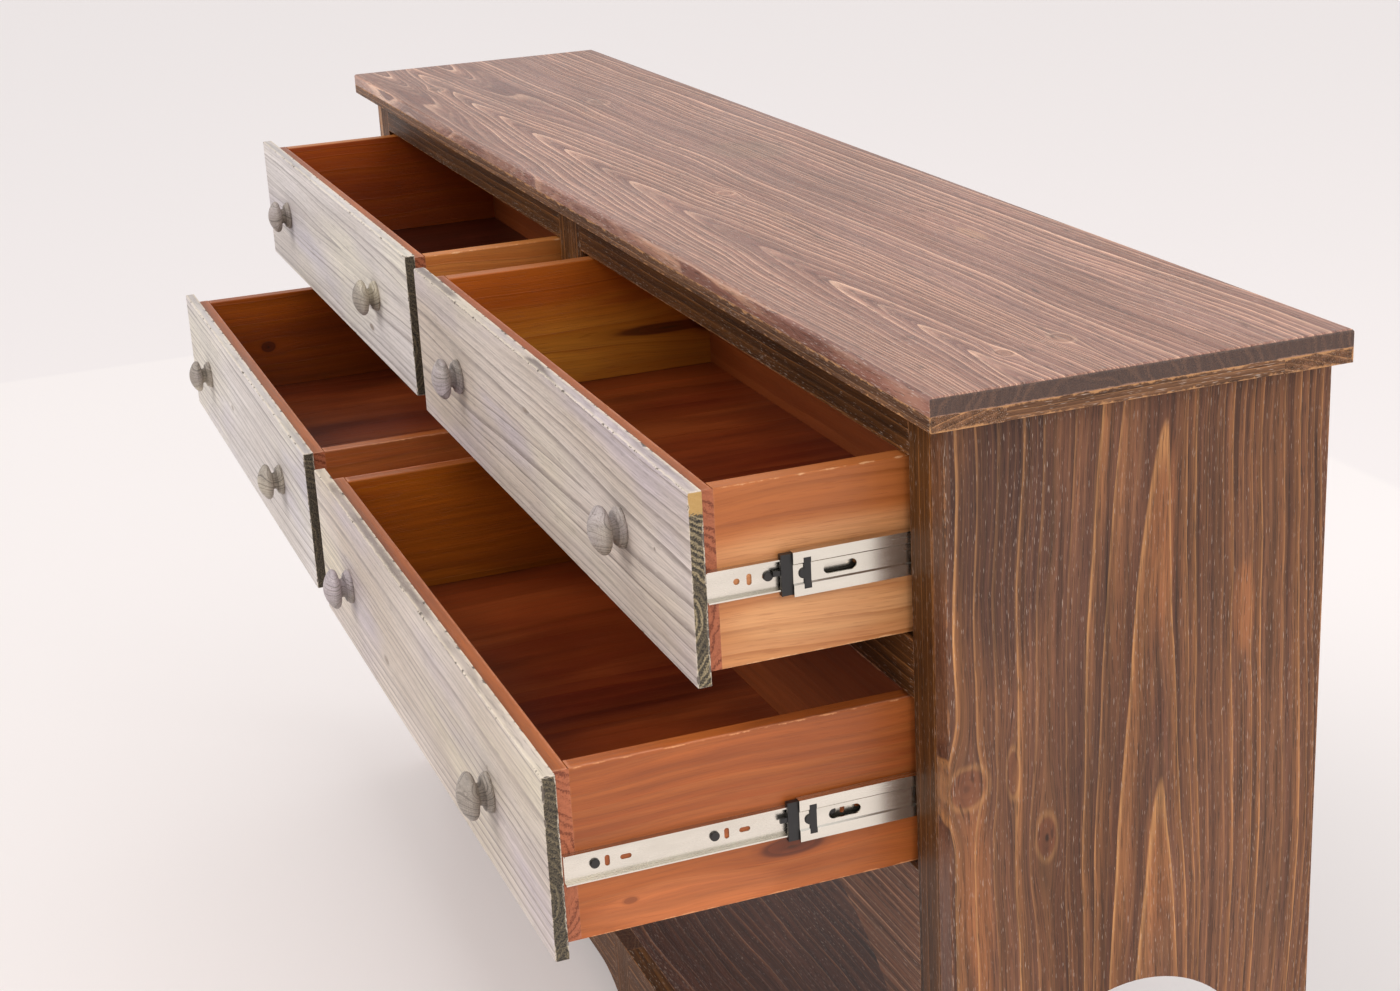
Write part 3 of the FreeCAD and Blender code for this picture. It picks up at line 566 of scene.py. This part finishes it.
# The strips under the top's edge are one node: grain along X in front and behind, along Y at the ends.
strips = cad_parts["top_edge_strips"]
strip_look = dict(STILE, dark=(88, 60, 44), tint=(104, 74, 54), mid=(126, 90, 64), light=(176, 130, 90),
                  spacing=0.005, wear=0.8, end=0.0, wear_colour=(190, 142, 98), wear_width=0.0024)
strip_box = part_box("top_edge_strips")
paint("top_edge_strips", wood("wood_top_edge_long", strip_box, X, Z, strip_look, seed=42))
strips.data.materials.append(wood("wood_top_edge_end", strip_box, Y, Z, strip_look, seed=43))
strip_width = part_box("top_board")[1].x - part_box("side_panel_right")[1].x + STRIP_INSIDE
for face in strips.data.polygons:
    middle = sum((strips.data.vertices[i].co for i in face.vertices), Vector()) / len(face.vertices)
    inside_y = strip_box[0].y + strip_width < middle.y < strip_box[1].y - strip_width
    at_end = abs(middle.x) > strip_box[1].x - strip_width - JOINT_SLACK
    face.material_index = 1 if inside_y and at_end else 0

drawers = ("upper_left", "upper_right", "lower_left", "lower_right")
fronts = {"upper_left": COOL_FRONT,
          "upper_right": dict(FRONT, end_lines=0.7),
          "lower_left": COOL_FRONT,
          "lower_right": FRONT}
# look of the box sides, colour of the painted shade on their inner faces, knots
box_looks = {
    "upper_left": (PINE, (214, 156, 31), [(0.6, 0.3, 0.006, 0.01, 0.5, 1)]),
    "upper_right": (YELLOW_PINE, (250, 224, 112), [(0.41, 0.80, 0.007, 0.07, 0.9, -1),
                                                  (0.45, 0.97, 0.02, 0.03, 0.9, -1)]),
    "lower_left": (RED_PINE, (240, 215, 27), [(0.49, 0.245, 0.008, 0.011, 1.0, -1)]),
    "lower_right": (RED_PINE, (250, 240, 56), [(0.26, 0.6, 0.009, 0.03, 0.9, 1),
                                              (0.16, 0.14, 0.003, 0.006, 0.3, 1)])}
stains = {
    "upper_left": [(0.5, 0.4, 0.02, 0.05, 0.3, (150, 80, 34))],
    "upper_right": [(0.9, 0.35, 0.036, 0.28, 0.75, (172, 88, 26)),
                    (0.66, 0.8, 0.008, 0.09, 0.6, (160, 82, 34)),
                    (0.2, 0.3, 0.02, 0.10, 0.4, (236, 182, 128))],
    "lower_left": [(0.6, 0.5, 0.02, 0.07, 0.3, (128, 62, 28))],
    "lower_right": [(0.85, 0.6, 0.02, 0.10, 0.35, (142, 70, 32)),
                    (0.1, 0.3, 0.02, 0.09, 0.35, (204, 122, 72))]}
front_knots = {
    "upper_left": [(0.2, 0.75, 0.004, 0.012, 0.9, 0)],
    "upper_right": [(0.68, 0.482, 0.0025, 0.008, 0.9, 0), (0.55, 0.9, 0.0015, 0.0015, 0.9, 0)],
    "lower_left": [(0.5, 0.4, 0.003, 0.009, 0.7, 0)],
    "lower_right": [(0.3, 0.35, 0.004, 0.01, 0.6, 0), (0.6, 0.8, 0.002, 0.002, 0.8, 0)]}
for index, name in enumerate(drawers):
    node = "drawer_" + name + "_"
    pine, deep, marks = box_looks[name]
    board(node + "front", X, Z, fronts[name], seed=50 + index, knots=front_knots[name],
          flow=arch_flow(0.62 - 0.1 * index, 0.1 + 0.1 * index, 0.022, 0.010, reach=0.045),
          end_patch=(0.95, 0.009, (190, 152, 90)) if name == "upper_right" else None)
    board(node + "box_front", X, Z, BOX_FRONT, seed=60 + index)
    # The box backs are darker all over: painted shade at the back of each drawer.
    board(node + "box_back", X, Z, dict(pine, dark=(126, 58, 20), tint=(144, 72, 28), mid=(150, 78, 34)),
          seed=65 + index)
    # the box sides get painted shade on their inner faces
    board(node + "box_sides", Y, Z, pine, seed=70 + index, knots=marks, inside=deep, patches=stains[name])
    board(node + "bottom", Y, X, SHADED_BOTTOM if name == "upper_left" else BOTTOM, seed=75 + index)


# ---------------------------------------------------------------- metal and plastic

def steel(name, tone, along, rough):
    """Zinc-plated pressed steel with rolling marks along one axis."""
    s = Shader(name)
    stretch = [700.0, 700.0, 700.0]
    stretch[along] = 9.0
    marks = s.noise(s.at[0] * stretch[0], s.at[1] * stretch[1], s.at[2] * stretch[2], 3.0, 0.6)
    cloud = s.noise(s.at[0] * 45.0, s.at[1] * 14.0, s.at[2] * 60.0, 4.0, 0.6)
    grease = s.noise(s.at[0] * 18.0, s.at[1] * 8.0, s.at[2] * 30.0 + 7.0, 3.0).above(0.5, 0.75)
    colour = s.mix(cloud.above(0.3, 0.7), tone, (214, 209, 199))
    colour = s.mix(grease * 0.25, colour, (176, 160, 138))
    colour = s.bright(colour, (marks - 0.5) * 0.06 + 1.0)
    s.put(s.surface.inputs["Base Color"], colour)
    s.surface.inputs["Metallic"].default_value = 1.0
    s.put(s.surface.inputs["Roughness"], (marks - 0.5) * 0.08 + cloud * 0.1 + rough)
    s.bump(marks * 0.5 + cloud * 0.5, STEEL_RELIEF, 0.25)
    return s.material


def plastic(name, tone, light):
    """Dark moulded plastic or blacked steel, with paler scuffs."""
    s = Shader(name)
    grainy = s.noise(s.at[0] * 1500.0, s.at[1] * 1500.0, s.at[2] * 1500.0, 2.0)
    scuff = s.noise(s.at[0] * 90.0, s.at[1] * 60.0, s.at[2] * 90.0, 4.0, 0.7).above(0.55, 0.8)
    colour = s.mix(scuff * 0.35, tone, light)
    s.put(s.surface.inputs["Base Color"], colour)
    s.put(s.surface.inputs["Roughness"], grainy * 0.15 + scuff * 0.15 + 0.32)
    s.bump(grainy, PLASTIC_RELIEF, 0.5)
    return s.material


outer_steel = steel("steel_outer", (200, 196, 186), Y, 0.24)
middle_steel = steel("steel_middle", (204, 200, 190), Y, 0.2)
inner_steel = steel("steel_inner", (202, 197, 187), Y, 0.22)
cage_plastic = plastic("plastic_cage", (24, 23, 24), (70, 68, 66))
screw_black = plastic("screw_blacked", (30, 27, 26), (96, 86, 76))
paint("case_slide_members", outer_steel)
for name in drawers:
    paint("slides_" + name + "_middle_members", middle_steel)
    paint("slides_" + name + "_ball_cages", cage_plastic)
    paint("drawer_" + name + "_slide_members", inner_steel)
    paint("drawer_" + name + "_slide_screws", screw_black)


# ---------------------------------------------------------------- turned knobs

def knob_profile(radius, length):
    """Outline of a turned knob from the drawer front outward: (distance out, radius)."""
    dome_start, dome_radius = 0.725, 0.91
    base = [(0.0, 0.80), (0.0, 0.845), (0.05, 0.85), (0.10, 0.845), (0.125, 0.82), (0.135, 0.76),
            (0.15, 0.735), (0.185, 0.74), (0.21, 0.72), (0.225, 0.66), (0.24, 0.56)]
    neck = [(0.27, 0.50), (0.31, 0.465), (0.35, 0.455), (0.39, 0.48), (0.42, 0.55)]
    head = [(0.44, 0.66), (0.455, 0.78), (0.475, 0.87), (0.51, 0.94), (0.56, 0.985), (0.61, 1.0),
            (0.66, 0.985), (0.70, 0.95), (dome_start, dome_radius)]
    shape = base + neck + head
    rings, steps_per_ring = 9, 5
    steps = steps_per_ring * rings
    for i in range(1, steps + 1):
        r = dome_radius * (1 - i / steps)
        dome = dome_start + 0.275 * (1 - (r / dome_radius) ** 2) ** 0.9
        groove = 0.010 * max(0.0, math.cos(2 * math.pi * i / steps_per_ring)) * min(1.0, r * 5)
        shape.append((dome - groove, r))
    return [(out * length, r * radius) for out, r in shape]


def turned(name, centre, radius, length, segments=72):
    """A knob as one turned mesh that points towards -Y."""
    outline = knob_profile(radius, length)
    verts, faces = [], []
    for out, r in outline[:-1]:
        for k in range(segments):
            a = 2 * math.pi * k / segments
            verts.append(centre + Vector((r * math.cos(a), -out, r * math.sin(a))))
    verts.append(centre + Vector((0, -outline[-1][0], 0)))
    for i in range(len(outline) - 2):
        for k in range(segments):
            n = (k + 1) % segments
            a, b = i * segments, (i + 1) * segments
            faces.append((a + k, b + k, b + n, a + n))
    last = (len(outline) - 2) * segments
    for k in range(segments):
        faces.append((last + k, len(verts) - 1, last + (k + 1) % segments))
    faces.append(tuple(reversed(range(segments))))
    mesh = bpy.data.meshes.new(name)
    mesh.from_pydata(verts, [], faces)
    mesh.validate()
    for face in mesh.polygons:
        face.use_smooth = len(face.vertices) < 5
    knob = bpy.data.objects.new(name, mesh)
    bpy.context.scene.collection.objects.link(knob)
    return knob


KNOB = dict(FRONT, dark=(138, 130, 122), tint=(162, 152, 142), mid=(184, 172, 160),
            light=(64, 56, 52), spacing=0.003, line=0.42, lines=0.8, bump=0.3, glow=0.2, end=0.15,
            wear=0.0, chips=0.0, drift=0.006, pores=0.35)

for index, name in enumerate(drawers):
    node = "drawer_" + name + "_knobs"
    lo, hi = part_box(node)
    radius = (hi.z - lo.z) / 2
    for hand, x in (("left", lo.x + radius), ("right", hi.x - radius)):
        centre = Vector((x, hi.y, (lo.z + hi.z) / 2))
        knob = turned("knob_" + name + "_" + hand, centre, radius, hi.y - lo.y)
        knob_box = (Vector((x - radius, lo.y, lo.z)), Vector((x + radius, hi.y, hi.z)))
        look = wood("wood_knob_" + name + "_" + hand, knob_box, X, Z, KNOB,
                    seed=80 + 2 * index + (hand == "left"),
                    flow=arch_flow(0.2 if hand == "left" else 0.75, 0.5, 0.25, 0.008))
        knob.data.materials.append(look)
        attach(knob, "drawer_" + name)
        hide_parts(node)


# ---------------------------------------------------------------- room, lights and camera

def studio_floor():
    """Plain pale floor, with a hint of mottling and, far off, a slightly darker surround of painted shade
    that stands in for the backdrop wall.
    """
    reach = 30.0
    mesh = bpy.data.meshes.new("studio_floor")
    corners = [(-reach, -reach, 0), (reach, -reach, 0), (reach, reach, 0), (-reach, reach, 0)]
    mesh.from_pydata(corners, [], [(0, 1, 2, 3)])
    floor = bpy.data.objects.new("studio_floor", mesh)
    bpy.context.scene.collection.objects.link(floor)
    s = Shader("studio_floor")
    cloud = s.noise(s.at[0] * 0.6, s.at[1] * 0.6, 0.0, 2.0)
    # painted shade far off, in place of the backdrop wall's shade
    left_end, back_end, fade = low.x - 2.55, high.y + 1.65, 0.03
    left_wall_shade = s.at[X].below(left_end - fade, left_end)
    wall_shade = left_wall_shade.most(s.at[Y].above(back_end, back_end + fade))
    pale = s.mix(cloud, (242, 237, 236), (244, 239, 238))
    s.put(s.surface.inputs["Base Color"], s.mix(wall_shade, pale, (238, 233, 233)))
    s.surface.inputs["Roughness"].default_value = 0.32
    s.surface.inputs["Specular IOR Level"].default_value = 0.25
    mesh.materials.append(s.material)
    floor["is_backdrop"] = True


def area_light(name, place, target, size, power, tint=(255, 255, 255)):
    data = bpy.data.lights.new(name, "AREA")
    data.shape = "RECTANGLE"
    data.size, data.size_y = size
    data.energy = power
    data.color = linear(tint)[:3]
    lamp = bpy.data.objects.new(name, data)
    lamp.location = place
    lamp.rotation_euler = (Vector(target) - Vector(place)).to_track_quat("-Z", "Y").to_euler()
    bpy.context.scene.collection.objects.link(lamp)


def sun_light(name, towards, power, spread, tint=(255, 255, 255)):
    data = bpy.data.lights.new(name, "SUN")
    data.energy = power
    data.angle = math.radians(spread)
    data.color = linear(tint)[:3]
    lamp = bpy.data.objects.new(name, data)
    lamp.rotation_euler = (-Vector(towards)).to_track_quat("-Z", "Y").to_euler()
    bpy.context.scene.collection.objects.link(lamp)


def studio_camera():
    """Camera at the photographed angle. It aims at a point given as shares of the object's box."""
    azimuth, elevation, roll = math.radians(70.13), math.radians(19.14), math.radians(3.12)
    distance = 2.0
    lo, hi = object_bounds()
    aim_share = (0.7679, 0.4336, 0.8121)
    aim = Vector([a + (b - a) * f for a, b, f in zip(lo, hi, aim_share)])
    back = Vector((math.sin(azimuth) * math.cos(elevation), -math.cos(azimuth) * math.cos(elevation),
                   math.sin(elevation)))
    level = Vector((math.cos(azimuth), math.sin(azimuth), 0))
    rise = back.cross(level)
    right = level * math.cos(roll) - rise * math.sin(roll)
    up = level * math.sin(roll) + rise * math.cos(roll)
    data = bpy.data.cameras.new("studio_camera")
    data.lens = 58.43
    data.sensor_width = 36.0
    data.clip_start = 0.05
    data.clip_end = 100.0
    camera = bpy.data.objects.new("studio_camera", data)
    turn = Matrix((right, up, back)).transposed().to_4x4()
    camera.matrix_world = Matrix.Translation(aim + back * distance) @ turn
    bpy.context.scene.collection.objects.link(camera)
    bpy.context.scene.camera = camera


def studio_world(light, backdrop):
    """Even white light from all round, in front of a backdrop that the camera sees a little brighter."""
    world = bpy.data.worlds.new("studio")
    bpy.context.scene.world = world
    world.use_nodes = True
    tree = world.node_tree
    sky = tree.nodes["Background"]
    sky.inputs[0].default_value = linear((250, 248, 248))
    path = tree.nodes.new("ShaderNodeLightPath")
    strength = tree.nodes.new("ShaderNodeMapRange")
    tree.links.new(path.outputs["Is Camera Ray"], strength.inputs[0])
    for socket, value in zip(strength.inputs[1:5], (0.0, 1.0, light, backdrop)):
        socket.default_value = value
    tree.links.new(strength.outputs[0], sky.inputs[1])


studio_floor()
studio_world(0.62, 0.86)
sun_light("key", (-1.2, -3.6, 3.4), 1.7, 45, (255, 250, 246))
sun_light("overhead", (1.3, 1.5, 3.0), 0.5, 80)
area_light("side", (4.2, -0.6, 2.6), (0.8, 0.0, 0.5), (2.0, 2.0), 44, (255, 244, 234))
area_light("behind", (3.6, 3.2, 2.8), (1.3, 1.1, 0.0), (2.5, 2.5), 45)
studio_camera()
bpy.context.scene.view_settings.view_transform = "Standard"
bpy.context.scene.view_settings.look = "None"

low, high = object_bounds()
